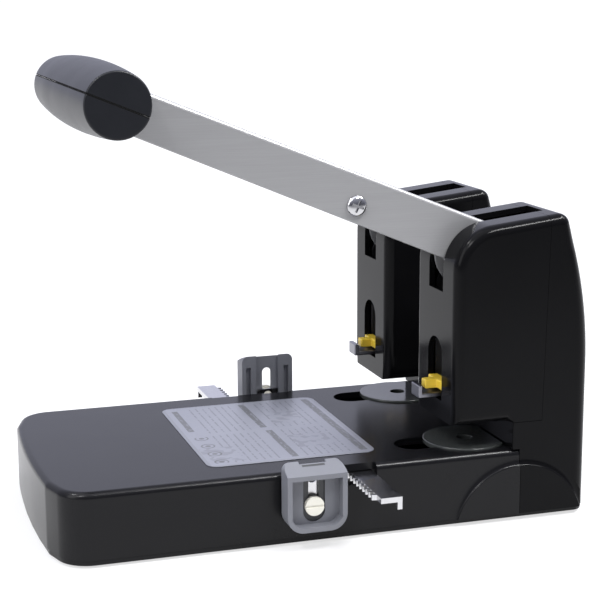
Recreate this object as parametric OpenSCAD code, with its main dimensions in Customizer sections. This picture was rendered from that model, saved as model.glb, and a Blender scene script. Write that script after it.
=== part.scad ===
// Heavy duty two-hole punch with a long cross-grip lever and a self-centring pair of paper guides.
// +X runs from the front of the paper table to the rear of the towers, +Z is up.
// The origin is under the middle of the base, on the desk.

/* [Base] */
// Length of the base, front to back
base_len = 231; // [220:1:240]
// Height of the paper table above the desk
base_top = 31; // [30:0.5:34]
// Wall of the base cover
base_wall = 3; // [2.5:0.25:3.5]
// Radius of the two front corners, seen from above
front_corner_r = 14; // [8:1:18]
// How far the front wall bows out at its middle
front_bow = 4; // [2:0.5:6]
// Radius of the round panel low on each side
arch_r = 33; // [31:0.5:33.5]
// How far below the base cover's lower edge the centre of that panel lies
arch_drop = 8.5; // [8:0.5:12]
// Width of that panel's sloping rim
arch_rim = 3; // [1.5:0.5:4]
// How far that panel stands proud
arch_proud = 1.5; // [0.5:0.25:2.5]
// Steel plate that carries the towers
plate_t = 3; // [2:0.5:3.5]
// Gap under that plate, down to the desk
plate_z = 17.5; // [16.5:0.5:18]
// Length of the label, along the table
label_len = 73; // [60:1:80]
// Width of the label, across the table
label_w = 91; // [80:1:94]
// Distance of the label's rear edge ahead of the towers
label_gap = 28; // [24:1:34]

/* [Chip pan] */
// Height of the rubber feet
foot_h = 1.2; // [0.8:0.1:1.6]
// Radius of the rubber feet
foot_r = 7; // [5:0.5:9]
// Floor of the chip pan, which shows as a rim round the base
pan_floor = 1.8; // [1.4:0.1:2]
// Wall of the chip pan
pan_wall = 1.6; // [1.2:0.1:2]
// Height of the chip pan's wall above its floor
pan_wall_h = 10; // [6:0.5:11]

/* [Towers] */
// Distance between the two holes, centre to centre
hole_spacing = 80; // [78:1:84]
// Width of each tower
head_w = 44; // [42:0.5:46]
// Depth of the towers, front face to rear face
tower_depth = 62; // [61:0.5:64]
// Underside of the tower heads
head_bottom = 43; // [42.5:0.25:44]
// Height of the heads at the rear of their top
tower_top = 129.8; // [129:0.2:133]
// Rise of the heads' top towards the rear, in degrees
top_slope = 6.6; // [5:0.2:7]
// Radius of the heads' front top edge
front_top_r = 19; // [15:1:20]
// Wall of the head and rear covers
cover_wall = 2.5; // [2:0.25:2.75]
// Radius of the heads' front corners, seen from above
head_corner_r = 5; // [3:0.5:6]
// Radius of the rear covers' rear corners, seen from above
rear_corner_r = 6; // [3:0.5:7]
// Radius of the heads' lower front corners
head_foot_r = 8; // [4:0.5:9]
// Length of a head along its top
head_top_len = 42; // [41.5:0.25:43]
// Length of a head along its underside
head_foot_len = 40; // [39:0.25:41]
// Distance of the side seam behind the front of the columns
seam_back = 3.2; // [2:0.1:4]
// Height at which the rear of the towers starts to curve forward
rear_curve_z = 66; // [60:1:72]
// Radius of that curve
rear_curve_r = 182; // [170:2:200]
// Radius of the rear top edge of the towers
rear_top_r = 5; // [4:0.5:8]
// Width of the slot that the lever swings in
slot_w = 15; // [14.5:0.25:16]
// Lowest point of that slot in the front face
slot_bottom = 98; // [96:0.5:98.5]
// How far that slot runs on into the rear covers
slot_run = 3; // [1:0.5:4]
// Width of the arched window
window_w = 15; // [13:0.5:16]
// Top of the arched window
window_top = 77.6; // [74:0.2:80]
// Bottom of the arched window
window_bottom = 51; // [50:0.5:51.5]

/* [Tower frames] */
// Thickness of the frames' side plates
frame_t = 3; // [2:0.25:3]
// Gap between the two side plates of a frame
frame_gap = 20; // [19.5:0.25:21]
// Height of the guide block
block_h = 9; // [8:0.5:9.5]
// Thickness of the frames' feet
frame_foot_t = 3.5; // [3:0.5:4]
// Radius of the tower bolts
bolt_r = 2.5; // [2:0.25:3]

/* [Punches] */
// Distance of the punches behind the towers' front faces
punch_back = 14.2; // [14:0.1:14.6]
// Distance from the holes to the paper's edge
paper_margin = 12.6; // [12.4:0.1:13]
// Radius of the punched hole
pin_r = 3; // [2.75:0.05:3.2]
// Height of the pin's cutting end at rest
pin_tip = 43.8; // [43.7:0.1:44.5]
// Radius of the ram's rod
ram_r = 4; // [3.8:0.05:4.2]
// Lower end of the ram's rod at rest
ram_bottom = 74; // [73:0.5:76]
// Depth of the punch pin's seat in that rod
pin_seat = 12; // [8:0.5:14]
// Underside of the ram's spring collar at rest
collar_z = 90; // [88:0.5:92]
// Radius of that collar
collar_r = 7.5; // [7:0.1:8]
// Thickness of that collar
collar_t = 2.5; // [2:0.25:3]
// Thickness of the ram's pad, which the press bar rolls on
pad_t = 5; // [4:0.25:5.5]
// Width of that pad, inside the lever arm
pad_w = 8; // [7:0.25:8.2]
// Outer radius of the guide bush
bush_r = 5.8; // [5.2:0.1:6]
// Lower end of the guide bush
bush_bottom = 43.6; // [43.4:0.1:43.7]
// Radius of the guide bush's flange
bush_flange_r = 8; // [7.5:0.25:8.5]
// Thickness of that flange
bush_flange_t = 1.6; // [1:0.1:2]
// Wire of the return spring
spring_wire = 1.2; // [1:0.1:1.4]
// Mean radius of the return spring
spring_r = 5.6; // [5.4:0.1:5.8]
// Turns of the return spring
spring_turns = 7; // [5:1:8]
// Radius of the cutting discs
die_r = 18; // [15:0.5:18.5]
// Radius of a cutting disc's lower boss
die_boss_r = 11; // [9:0.5:12]
// How far the cutting discs stand above the table
die_proud = 0.8; // [0.4:0.1:1]
// Thickness of a cutting disc's flange
die_flange_t = 2.2; // [2:0.1:2.4]
// Length of a cutting disc's lower boss
die_boss_h = 4; // [3:0.25:5]
// Width of the finger notch ahead of a cutting disc
notch_w = 16; // [12:0.5:18]
// Reach of that notch ahead of the punch
notch_reach = 32; // [28:0.5:34]

/* [Pin keepers and clips] */
// Underside of the pin keepers
keeper_z = 52; // [51.8:0.1:52.4]
// Thickness of the pin keepers
keeper_t = 2; // [1.6:0.1:2.2]
// Width of the pin keepers
keeper_w = 8.5; // [8:0.5:12]
// How far a keeper stands out of the front face
keeper_out = 9; // [8:0.5:12]
// Height of the keeper's turned-up front edge, from its underside
keeper_lip = 5.5; // [4:0.25:6]
// Width of the yellow clip's finger tab
clip_bar_w = 4.6; // [4:0.2:5.4]
// Height of the yellow clip
clip_bar_h = 3.9; // [3:0.1:4.4]
// How far the finger tab stands out of the front face
clip_bar_t = 5.2; // [4:0.2:5.6]
// How far the clip reaches into the window
clip_tongue = 4.3; // [3:0.1:4.5]

/* [Lever] */
// Distance of the pivot behind the towers' front faces
pivot_back = 18.5; // [18:0.1:18.8]
// Height of the pivot
pivot_z = 116.1; // [115.8:0.1:116.4]
// Radius of the pivot studs
pivot_r = 4; // [3.5:0.1:4.4]
// Distance from the pivot to the grip's axis
lever_len = 168.8; // [150:0.4:175]
// Rise of the lever at rest, in degrees
lever_angle = 22.3; // [21:0.1:23]
// Swing of the lever from rest to the end of the stroke, in degrees
lever_travel = 40; // [36:1:40]
// Width of each lever arm, a channel of folded sheet
arm_w = 13; // [12.6:0.1:13.4]
// Sheet of the lever arms
arm_sheet = 2; // [1.8:0.1:2.2]
// Depth of the arms at the tower
arm_depth = 21; // [20:0.25:21.5]
// Depth of the arms at the grip
arm_tip_depth = 17.5; // [16:0.25:18]
// Radius of the arms' hub
hub_r = 15.5; // [15:0.25:16]
// How far the hub's middle lies below the pivot
hub_drop = 4.1; // [3.5:0.1:4.4]
// Radius at which the press bars drive the rams
press_r = 18.3; // [17.8:0.1:18.6]
// Radius of the press bars
press_pin_r = 3.5; // [3:0.1:3.8]
// Distance of the tie bar from the pivot, along the arm
tie_at = 59.7; // [55:0.1:110]
// Distance of the tie bar below the arm's middle line
tie_drop = 3.2; // [0:0.1:4]
// Radius of the tie bar
tie_r = 4; // [3.4:0.1:4.5]
// Radius of the tie bar's screws
tie_screw_r = 2.4; // [2:0.1:2.5]
// Radius of those screws' heads
tie_head_r = 4.3; // [3.8:0.1:4.6]
// Height of those screws' heads
tie_head_h = 2.4; // [1.8:0.1:2.8]

/* [Grip] */
// Length of the grip, across the lever
grip_len = 128; // [124:1:132]
// Radius of the grip at its ends
grip_end_r = 13; // [12.5:0.1:13.5]
// Radius of the grip at its middle
grip_mid_r = 15; // [14.4:0.1:15.5]
// Rounding of the grip's ends
grip_round = 1.6; // [1:0.1:2]
// Radius of the rod inside the grip
grip_rod_r = 5; // [4:0.25:5.5]
// Length of that rod
grip_rod_len = 112; // [108:1:116]

/* [Paper guides] */
// Pitch of the rack teeth
tooth_pitch = 3.6; // [3.4:0.05:3.8]
// Teeth on the pinion
pinion_teeth = 14; // [14:2:14]
// Height of the teeth above and below the pitch line
tooth_h = 0.8; // [0.6:0.05:0.9]
// Width of the racks
rack_w = 10.8; // [10:0.1:11.2]
// Thickness of the racks
rack_t = 2.2; // [1.8:0.1:2.4]
// Reach of a rack's free end from the middle of the base
rack_reach = 94; // [92:0.5:98]
// Travel of the paper guides
guide_travel = 84; // [60:1:84]
// Radius of the pinion's stud
stud_r = 2.5; // [2:0.1:3]
// Drop of the hook at a rack's free end
hook_drop = 3; // [2:0.1:3.2]
// Width of that hook
hook_w = 2; // [1.5:0.1:2.4]
// Offset of the side guides from the middle of the base
clip_x = 9.5; // [9:0.1:10]
// Width of the side guides
clip_w = 25.2; // [24.8:0.2:27]
// Height of the side guides
clip_h = 27.5; // [27:0.25:29]
// Thickness of the side guides' middle panels
clip_t = 2; // [1.6:0.1:2.4]
// Thickness of the side guides' roofs and flanks
clip_skin = 2; // [1.6:0.1:2.4]
// Depth of the side guides, from the base outwards
clip_depth = 8.6; // [8:0.1:9.5]
// Fall of the side guides' roofs from the base outwards
roof_fall = 3.7; // [2:0.1:4]
// Width of the channel that a rack's tab runs in
channel_w = 11.2; // [10.8:0.1:12]
// Width of the ribs along that channel
rib_w = 2.6; // [2:0.1:3]
// Radius of the side guides' lower corners
clip_corner_r = 7; // [4:0.5:8]
// How far the far side guide is raised at rest
clip_raise = 12.7; // [11:0.1:13]
// Height of the near side guide's lower edge at rest
clip_low = 8.5; // [8:0.1:9]
// Radius of the guide screws' heads
guide_head_r = 4; // [3.6:0.1:4.2]
// Radius of the guide screws' shanks
guide_screw_r = 2; // [1.6:0.1:2.1]
// Height of the lower screw hole in a rack's tab
tab_low = 18; // [17.5:0.1:18.5]
// Height of the upper screw hole in a rack's tab
tab_high = 29; // [28.8:0.1:29.2]
// Width of a rack's tab
tab_w = 10; // [9:0.25:11]

/* [Fits] */
// Radial clearance of a running fit
run_gap = 0.08; // [0.05:0.01:0.1]
// Radial clearance of a pin or screw that does not turn
seat_gap = 0.05; // [0.02:0.01:0.08]
// Gap between two pieces that slide on each other
slide_gap = 0.3; // [0.25:0.05:0.4]
// Visible seam between two covers
seam = 0.2; // [0.15:0.05:0.3]

/* [Screws and feet] */
// Distance of the front base screws from the middle of the base
screw_fore = 88; // [84:1:92]
// Distance of the front base screws from the centre line
screw_fore_y = 46; // [42:1:48]
// Distance of the middle base screws behind the middle of the base
screw_mid = 30; // [28:1:33]
// Distance of the middle base screws from the centre line
screw_mid_y = 55; // [54:0.25:55]
// Distance of the rear base screw from the rear
screw_rear = 12; // [11:0.5:14]
// How far a base screw goes into its post
screw_grip = 5; // [4:0.5:5.5]
// Distance of the feet from the middle of the base
feet_x = 88; // [80:1:94]
// Distance of the feet from the centre line
feet_y = 44; // [40:1:46]
// Distance of the first tower bolt from the front of a frame's foot
bolt_in = 5; // [4.5:0.25:5.5]
// Distance between the two bolts of a tower
bolt_pitch = 12; // [11:0.5:12]
// Height of a tower bolt's head
bolt_head_h = 3; // [2.5:0.25:3.5]

/* [Hidden] */
$fn = 64;
eps = 0.01;
over = 1;
base_w = hole_spacing + head_w;
base_z = foot_h + pan_floor + seam;
x_rear = base_len / 2;
x_front = -x_rear;
tower_x = x_rear - tower_depth;
arch_sunk = 0.5;
rear_centre = [tower_depth - rear_curve_r, rear_curve_z];
punch_x = tower_x + punch_back;
column_x = punch_x + paper_margin;
seam_x = column_x + seam_back;
side_y = base_w / 2;
tower_y = hole_spacing / 2;
head_half = head_w / 2;
gap_y = tower_y - head_half;
deck_z = base_top - base_wall;
plate_top = plate_z + plate_t;
bow_r = (side_y * side_y + front_bow * front_bow) / (2 * front_bow);

// Frames: the plates stand inside the covers and on the base plate
frame_front = tower_x + cover_wall + 2;
frame_in = frame_gap / 2;
frame_out = frame_in + frame_t;
block_z = head_bottom + cover_wall + 0.5;
block_top = block_z + block_h;
block_front = frame_front + 1.5;
block_back = column_x - 1;
boss_r = pivot_r + 3.4;
foot_x = seam_x + cover_wall + 0.4;
foot_len = 20;
bolt_x = [foot_x + bolt_in, foot_x + bolt_in + bolt_pitch];

// Lever: worked out along the arm, from the pivot towards the grip
pivot_x = tower_x + pivot_back;
press_a = lever_travel / 2;
press_x = pivot_x - press_r * cos(press_a);
press_z = pivot_z + press_r * sin(press_a);
pad_top = press_z - press_pin_r - slide_gap;
pad_front = press_x - press_pin_r + 0.2;
pad_back = punch_x + ram_r;
arm_top = arm_depth / 2 - 0.5;
arm_low = arm_depth / 2 + 0.3;
arm_end = 6;
cheek_gap = arm_w - 2 * arm_sheet;
stud_in = cheek_gap / 2 + 0.2;
stud_head_r = pivot_r + 2.5;
stud_head_h = 1.9;

// Spring: from the bush's flange to the ram's collar
spring_low = block_top + bush_flange_t + spring_wire / 2 + slide_gap;
spring_high = collar_z - spring_wire / 2 - slide_gap;
spring_rings = 8;
spring_sides = 6;

// Paper guides: two equal racks on either side of a pinion
pitch_r = pinion_teeth * tooth_pitch / (2 * PI);
tooth_gap = 0.3;
rack_tip_x = pitch_r - tooth_h;
rack_root_x = pitch_r + tooth_h + tooth_gap;
rack_back_x = rack_tip_x + rack_w;
rack_top = deck_z - slide_gap;
rack_z = rack_top - rack_t;
rail_gap = 0.6;
bracket_w = 2 * (rack_back_x + rail_gap + 3);
bracket_len = base_w - 2 * base_wall - 2;
bracket_floor = rack_z - slide_gap;
groove_z = rack_z - hook_drop - slide_gap;
groove_in = rack_back_x - hook_w - rail_gap;
teeth_first = -2;
teeth_last = floor(rack_reach / tooth_pitch) - 2;
tab_t = 1.5;
tab_y = side_y + 1.2;
neck_y = side_y + 0.4;
tab_bottom = 13;
tab_top = tab_high + guide_screw_r + 1;
clip_back = side_y + 1.4;
clip_front = clip_back + clip_depth;
panel_in = tab_y + tab_t + slide_gap;
panel_out = panel_in + clip_t;
recess_deep = 0.8;
recess_half = guide_head_r + 0.6;
slot_half = guide_screw_r + 0.2;
slot_low = tab_high - (clip_low + clip_raise) - 0.4;
slot_high = clip_h - roof_fall - clip_skin - slot_half - 0.8;
guide_head_h = 2;
wall_notch_in = rack_tip_x - 1.2;
wall_notch_out = rack_back_x + 1.4;
wall_notch_z = groove_z - 0.3;

// Screws that hold the base cover to the base plate
screw_r = 2;
screw_head_r = 4;
screw_head_h = 1.6;
post_r = 5;
screw_at = [[-screw_fore, -screw_fore_y], [-screw_fore, screw_fore_y],
    [screw_mid, -screw_mid_y], [screw_mid, screw_mid_y], [x_rear - screw_rear, 0]];
foot_at = [for (x = [-feet_x, feet_x]) for (y = [-feet_y, feet_y]) [x, y]];

black = "#1c1c1f";
steel = "#a9abb0";
dark_steel = "#55575c";
grey = "#7c8189";

// Helpers: outlines drawn upright, and rods that lie across the base
module upright(w) { rotate([90, 0, 0]) linear_extrude(w, center = true) children(); }
module lengthwise(l) { rotate([90, 0, 90]) linear_extrude(l) children(); }
module rod_y(r, l) { rotate([90, 0, 0]) cylinder(r = r, h = l, center = true); }
module rod_x(r, l) { rotate([0, 90, 0]) cylinder(r = r, h = l); }
module at_tower(side) { translate([0, side * tower_y, 0]) children(); }
module on_lever() { translate([pivot_x, 0, pivot_z]) rotate([0, lever_angle, 0]) children(); }

// Outline of the base from above, drawn in by a margin
module base_outline(m) {
    hull() {
        for (s = [-1, 1])
            translate([x_front + front_bow + front_corner_r, s * (side_y - front_corner_r)])
                circle(r = front_corner_r - min(m, front_corner_r - 1), $fn = 48);
        intersection() {
            translate([x_front + bow_r, 0]) circle(r = bow_r - m, $fn = 360);
            translate([x_front - over, -side_y * 0.7]) square([front_bow + 12, side_y * 1.4]);
        }
        for (s = [-1, 1])
            translate([x_rear - max(rear_corner_r, m + 1), s * (side_y - max(rear_corner_r, m + 1))])
                circle(r = max(rear_corner_r - m, 1), $fn = 48);
    }
}

// Half of the round side panel, between two planes along X
module arch(x0, x1) {
    for (s = [-1, 1])
        intersection() {
            translate([seam_x, s * (side_y - arch_sunk), base_z - arch_drop])
                rotate([s * -90, 0, 0])
                    cylinder(r1 = arch_r + arch_rim * arch_sunk / arch_proud, r2 = arch_r - arch_rim,
                        h = arch_proud + arch_sunk);
            translate([x0, -base_w, base_z]) cube([x1 - x0, 2 * base_w, arch_r + over]);
        }
}

// Well for a cutting disc and the finger notch ahead of it
module disc_well() {
    ledge = base_top + die_proud - die_flange_t;
    intersection() {
        translate([punch_x, 0, ledge]) cylinder(r = die_r + seam, h = die_flange_t + over);
        translate([0, -die_r - over, 0]) cube([column_x - seam, 2 * die_r + 2 * over, tower_top]);
    }
    translate([punch_x, 0, deck_z - over]) cylinder(r = die_boss_r + seam, h = base_wall + 2 * over);
    translate([punch_x - notch_reach + notch_w / 2, 0, deck_z - over])
        cylinder(d = notch_w, h = base_wall + 2 * over);
    translate([punch_x - notch_reach + notch_w / 2, -notch_w / 2, deck_z - over])
        cube([notch_reach - notch_w / 2, notch_w, base_wall + 2 * over]);
}

module base_cover() {
    color(black) difference() {
        union() {
            difference() {
                translate([0, 0, base_z]) linear_extrude(base_top - base_z) base_outline(0);
                translate([0, 0, base_z - over]) linear_extrude(deck_z - base_z + over) base_outline(base_wall);
            }
            arch(seam_x - arch_r - over, seam_x - seam);
            for (p = screw_at)
                translate([p.x, p.y, plate_top + seam])
                    cylinder(r = post_r, h = deck_z - plate_top);
        }
        for (s = [-1, 1]) {
            translate([seam_x - seam, s > 0 ? gap_y - seam : -side_y - over, 0])
                cube([x_rear, side_y - gap_y + seam + over, base_top + over]);
            at_tower(s) disc_well();
            for (t = [-1, 1])
                translate([t > 0 ? wall_notch_in : -wall_notch_out, s > 0 ? side_y - base_wall - 0.4 : -side_y - over,
                        wall_notch_z])
                    cube([wall_notch_out - wall_notch_in, base_wall + 0.4 + over, base_top]);
        }
        for (p = screw_at)
            translate([p.x, p.y, plate_top - over]) cylinder(r = screw_r + seat_gap, h = 6 + over);
    }
}

module base_plate() {
    inset = base_wall + 1.5;
    color(dark_steel) difference() {
        translate([0, 0, plate_z]) linear_extrude(plate_t) base_outline(inset);
        for (s = [-1, 1]) {
            translate([punch_x, s * tower_y, plate_z - over])
                cylinder(r = pin_r + 4, h = plate_t + 2 * over);
            for (x = bolt_x)
                translate([x, s * tower_y, plate_z - over])
                    cylinder(r = bolt_r + seat_gap, h = plate_t + 2 * over);
        }
        for (p = screw_at)
            translate([p.x, p.y, plate_z - over]) cylinder(r = screw_r + seat_gap, h = plate_t + 2 * over);
    }
}

module base_screws() {
    color(steel) for (p = screw_at)
        translate([p.x, p.y, 0]) {
            translate([0, 0, plate_z - screw_head_h]) cylinder(r = screw_head_r, h = screw_head_h);
            translate([0, 0, plate_z - eps]) cylinder(r = screw_r, h = plate_t + screw_grip);
        }
}

module label_plate() {
    label_t = 0.25;
    corner = 5;
    x1 = tower_x - label_gap;
    color("#c8cbd6") translate([x1 - label_len, -label_w / 2, base_top])
        linear_extrude(label_t) {
            translate([corner, 0]) square([label_len - 2 * corner, label_w]);
            translate([0, corner]) square([label_len, label_w - 2 * corner]);
            for (x = [corner, label_len - corner])
                for (y = [corner, label_w - corner])
                    translate([x, y]) circle(r = corner);
        }
}

module chip_pan() {
    rim = 0.4;
    wall_in = base_wall + 2;
    color(black) difference() {
        translate([0, 0, foot_h]) union() {
            linear_extrude(pan_floor) base_outline(rim);
            difference() {
                linear_extrude(pan_floor + pan_wall_h) base_outline(wall_in);
                translate([0, 0, pan_floor])
                    linear_extrude(pan_wall_h + over) base_outline(wall_in + pan_wall);
            }
        }
        for (p = foot_at)
            translate([p.x, p.y, foot_h - over]) cylinder(r = foot_r / 2 + seat_gap, h = pan_floor + over + eps);
    }
}

module rubber_feet() {
    color("#202022") for (p = foot_at)
        translate([p.x, p.y, 0]) {
            cylinder(r = foot_r, h = foot_h);
            cylinder(r = foot_r / 2, h = foot_h + pan_floor);
        }
}

module cutting_disc(side) {
    ledge = base_top + die_proud - die_flange_t;
    color("#4d5450") at_tower(side) difference() {
        intersection() {
            translate([punch_x, 0, 0]) {
                translate([0, 0, ledge]) cylinder(r = die_r, h = die_flange_t);
                translate([0, 0, ledge - die_boss_h]) cylinder(r = die_boss_r, h = die_boss_h + eps);
            }
            translate([0, -die_r, 0]) cube([column_x - 2 * seam, 2 * die_r, tower_top]);
        }
        translate([punch_x, 0, ledge - die_boss_h - over])
            cylinder(r = pin_r + slide_gap, h = die_boss_h + die_flange_t + 2 * over);
    }
}

// Side view of a steel frame: a C whose throat takes the paper
module frame_side() {
    polygon([[frame_front, block_z], [frame_front, pivot_z - 16], [pivot_x - boss_r + 1, pivot_z],
        [pivot_x + boss_r, pivot_z], [foot_x + foot_len - 8, pivot_z - 56], [foot_x + foot_len, head_bottom],
        [foot_x + foot_len, plate_top], [foot_x, plate_top], [foot_x, block_z]]);
    translate([pivot_x, pivot_z]) circle(r = boss_r);
}

module tower_frame(side) {
    color(dark_steel) at_tower(side) difference() {
        union() {
            for (s = [-1, 1])
                translate([0, s * (frame_in + frame_t / 2), 0]) upright(frame_t) frame_side();
            translate([block_front, -frame_in - eps, block_z])
                cube([block_back - block_front, frame_gap + 2 * eps, block_h]);
            translate([foot_x, -frame_in - eps, plate_top]) cube([foot_len, frame_gap + 2 * eps, frame_foot_t]);
        }
        translate([pivot_x, 0, pivot_z]) rod_y(pivot_r + seat_gap, 2 * frame_out + 2 * over);
        translate([punch_x, 0, block_z - over]) cylinder(r = bush_r + seat_gap, h = block_h + 2 * over);
        translate([block_front - over, -keeper_w / 2 - seam, keeper_z - seam / 2])
            cube([punch_x - bush_r - block_front, keeper_w + 2 * seam, keeper_t + seam]);
        for (x = bolt_x)
            translate([x, 0, plate_top - over]) cylinder(r = bolt_r + seat_gap, h = frame_foot_t + 2 * over);
    }
}

module tower_bolts() {
    color(steel) for (s = [-1, 1])
        for (x = bolt_x)
            translate([x, s * tower_y, plate_z]) {
                cylinder(r = bolt_r, h = plate_t + frame_foot_t + eps);
                translate([0, 0, plate_t + frame_foot_t]) cylinder(r = bolt_r * 1.7, h = bolt_head_h);
            }
}

// Side view of a head, drawn in by a wall and reaching back to a given length
module head_side(m, len_top, len_foot, foot_z) {
    r = front_top_r - m;
    zc = tower_top - (head_top_len - front_top_r) * tan(top_slope) - front_top_r / cos(top_slope);
    touch = [front_top_r - r * sin(top_slope), zc + r * cos(top_slope)];
    translate([tower_x, 0]) difference() {
        polygon([[m, foot_z], [m, touch.y - (touch.x - m) * tan(top_slope)],
            [len_top, touch.y + (len_top - touch.x) * tan(top_slope)], [len_foot, foot_z]]);
        difference() {
            polygon([[m - over, zc], [front_top_r, zc], touch, [touch.x, tower_top + over],
                [m - over, tower_top + over]]);
            translate([front_top_r, zc]) circle(r = r, $fn = 96);
        }
    }
}

// Head seen from above, with rounded front corners
module head_plan(m) {
    r = head_corner_r - m / 2;
    half = head_half - m;
    translate([tower_x + m, 0]) {
        translate([r, -half]) square([tower_depth, 2 * half]);
        translate([0, -half + r]) square([tower_depth, 2 * (half - r)]);
        for (s = [-1, 1])
            translate([r, s * (half - r)]) circle(r = r);
    }
}

// Head seen from the front, with rounded lower corners
module head_front() {
    r = head_foot_r;
    translate([-head_half, head_bottom + r]) square([head_w, tower_top]);
    translate([-head_half + r, head_bottom]) square([head_w - 2 * r, tower_top]);
    for (s = [-1, 1])
        translate([s * (head_half - r), head_bottom + r]) circle(r = r);
}

module head_cover(side) {
    color(black) at_tower(side) difference() {
        intersection() {
            upright(head_w) head_side(0, head_top_len - seam, head_foot_len - seam, head_bottom);
            linear_extrude(2 * tower_top) head_plan(0);
            translate([tower_x - over, 0, 0]) lengthwise(tower_depth + 2 * over) head_front();
        }
        intersection() {
            upright(head_w) head_side(cover_wall, tower_depth, tower_depth, head_bottom + cover_wall);
            linear_extrude(2 * tower_top) head_plan(cover_wall);
        }
        translate([column_x, -head_half + cover_wall, head_bottom - over])
            cube([tower_depth, head_w - 2 * cover_wall, cover_wall + 2 * over]);
        translate([tower_x - over, -slot_w / 2, slot_bottom]) cube([tower_depth, slot_w, tower_top]);
        translate([tower_x - over, -window_w / 2, window_bottom])
            cube([cover_wall + 2 * over, window_w, window_top - window_w / 2 - window_bottom]);
        translate([tower_x - over, 0, window_top - window_w / 2]) rod_x(window_w / 2, cover_wall + 2 * over);
        translate([punch_x, 0, head_bottom - over]) cylinder(r = bush_r + 0.7, h = cover_wall + 2 * over);
    }
}

// Side view of a rear cover, drawn in by a wall; x runs from the towers' front face
module rear_side(m, foot_z, front_top, front_foot, step_z) {
    low = seam_x - tower_x - (m > 0 ? over : 0);
    mid = column_x - tower_x + m;
    top_z = tower_top + (tower_depth - head_top_len) * tan(top_slope) - m;
    translate([tower_x, 0]) difference() {
        intersection() {
            polygon([[low, foot_z], [tower_depth, foot_z], [tower_depth, top_z],
                [front_top, tower_top - m + (front_top - head_top_len) * tan(top_slope)],
                [front_foot, head_bottom], [mid, head_bottom], [mid, step_z], [low, step_z]]);
            union() {
                translate(rear_centre) circle(r = rear_curve_r - m, $fn = 180);
                translate([0, foot_z]) square([tower_depth - m, rear_curve_z - foot_z]);
            }
        }
        rear_top_waste(m, top_z);
    }
}

// What the round rear top edge takes off: its circle touches the sloping top and the rear curve
module rear_top_waste(m, top_z) {
    r = rear_top_r - m;
    reach = rear_curve_r - m - r;
    rise = tan(top_slope);
    lift = top_z - r / cos(top_slope) - rear_centre.y - rear_curve_r * rise;
    along = (sqrt(pow(reach, 2) * (1 + pow(rise, 2)) - pow(lift, 2)) - lift * rise) / (1 + pow(rise, 2));
    from_centre = [along, lift + along * rise];
    up = r * [-sin(top_slope), cos(top_slope)];
    back = r * from_centre / reach;
    translate(rear_centre + from_centre) difference() {
        polygon([[0, 0], back, up + back, up]);
        circle(r = r, $fn = 48);
    }
}

// Tower seen from above, with rounded rear corners
module rear_plan(m) {
    r = rear_corner_r - m / 2;
    half = head_half - m;
    translate([tower_x, -half]) square([tower_depth - m - r, 2 * half]);
    translate([tower_x, -half + r]) square([tower_depth - m, 2 * (half - r)]);
    for (s = [-1, 1])
        translate([x_rear - m - r, s * (half - r)]) circle(r = r);
}

module rear_cover(side) {
    color(black) difference() {
        union() {
            at_tower(side) intersection() {
                upright(head_w) rear_side(0, base_z, head_top_len, head_foot_len, base_top + seam);
                linear_extrude(2 * tower_top) rear_plan(0);
            }
            intersection() {
                arch(seam_x, x_rear - rear_corner_r / 2);
                translate([0, side > 0 ? 0 : -base_w, 0]) cube([x_rear, base_w, base_top]);
            }
        }
        at_tower(side) {
            intersection() {
                upright(head_w) rear_side(cover_wall, base_z - over, 0, 0, base_top + seam + cover_wall);
                linear_extrude(2 * tower_top) rear_plan(cover_wall);
            }
            translate([seam_x - over, -side * head_half - (side > 0 ? over : cover_wall + over), base_z - over])
                cube([x_rear - seam_x + 2 * over, cover_wall + 2 * over, base_top - base_z + over + seam]);
            translate([tower_x, -slot_w / 2, slot_bottom]) cube([head_top_len + slot_run, slot_w, tower_top]);
        }
    }
}

module pivot_studs() {
    color(steel) for (t = [-1, 1])
        for (s = [-1, 1])
            at_tower(t) translate([pivot_x, 0, pivot_z]) {
                translate([0, s * (stud_in + frame_out) / 2, 0]) rod_y(pivot_r, frame_out - stud_in + eps);
                translate([0, s * (frame_out + stud_head_h / 2), 0]) rod_y(stud_head_r, stud_head_h);
            }
}

module guide_bush(side) {
    color("#8d7a4a") at_tower(side) translate([punch_x, 0, 0]) difference() {
        union() {
            translate([0, 0, bush_bottom]) cylinder(r = bush_r, h = block_top - bush_bottom + eps);
            translate([0, 0, block_top]) cylinder(r = bush_flange_r, h = bush_flange_t);
        }
        translate([0, 0, bush_bottom - over])
            cylinder(r = pin_r + run_gap, h = block_top - bush_bottom + bush_flange_t + 2 * over);
    }
}

module punch_pin(side) {
    hollow = 2;
    color(steel) at_tower(side) translate([punch_x, 0, pin_tip]) difference() {
        cylinder(r = pin_r, h = ram_bottom + pin_seat - pin_tip);
        translate([0, 0, -eps]) cylinder(r1 = pin_r - 0.3, r2 = 0.6, h = hollow);
    }
}

// Ram: a rod with a spring collar, and a pad on top that reaches into the lever arm
module ram(side) {
    color(dark_steel) at_tower(side) difference() {
        union() {
            translate([punch_x, 0, ram_bottom]) cylinder(r = ram_r, h = pad_top - pad_t - ram_bottom + eps);
            translate([punch_x, 0, collar_z]) cylinder(r = collar_r, h = collar_t);
            translate([pad_front, -pad_w / 2, pad_top - pad_t]) cube([pad_back - pad_front, pad_w, pad_t]);
        }
        translate([punch_x, 0, ram_bottom - over]) cylinder(r = pin_r + seat_gap, h = pin_seat + 0.2 + over);
    }
}

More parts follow.
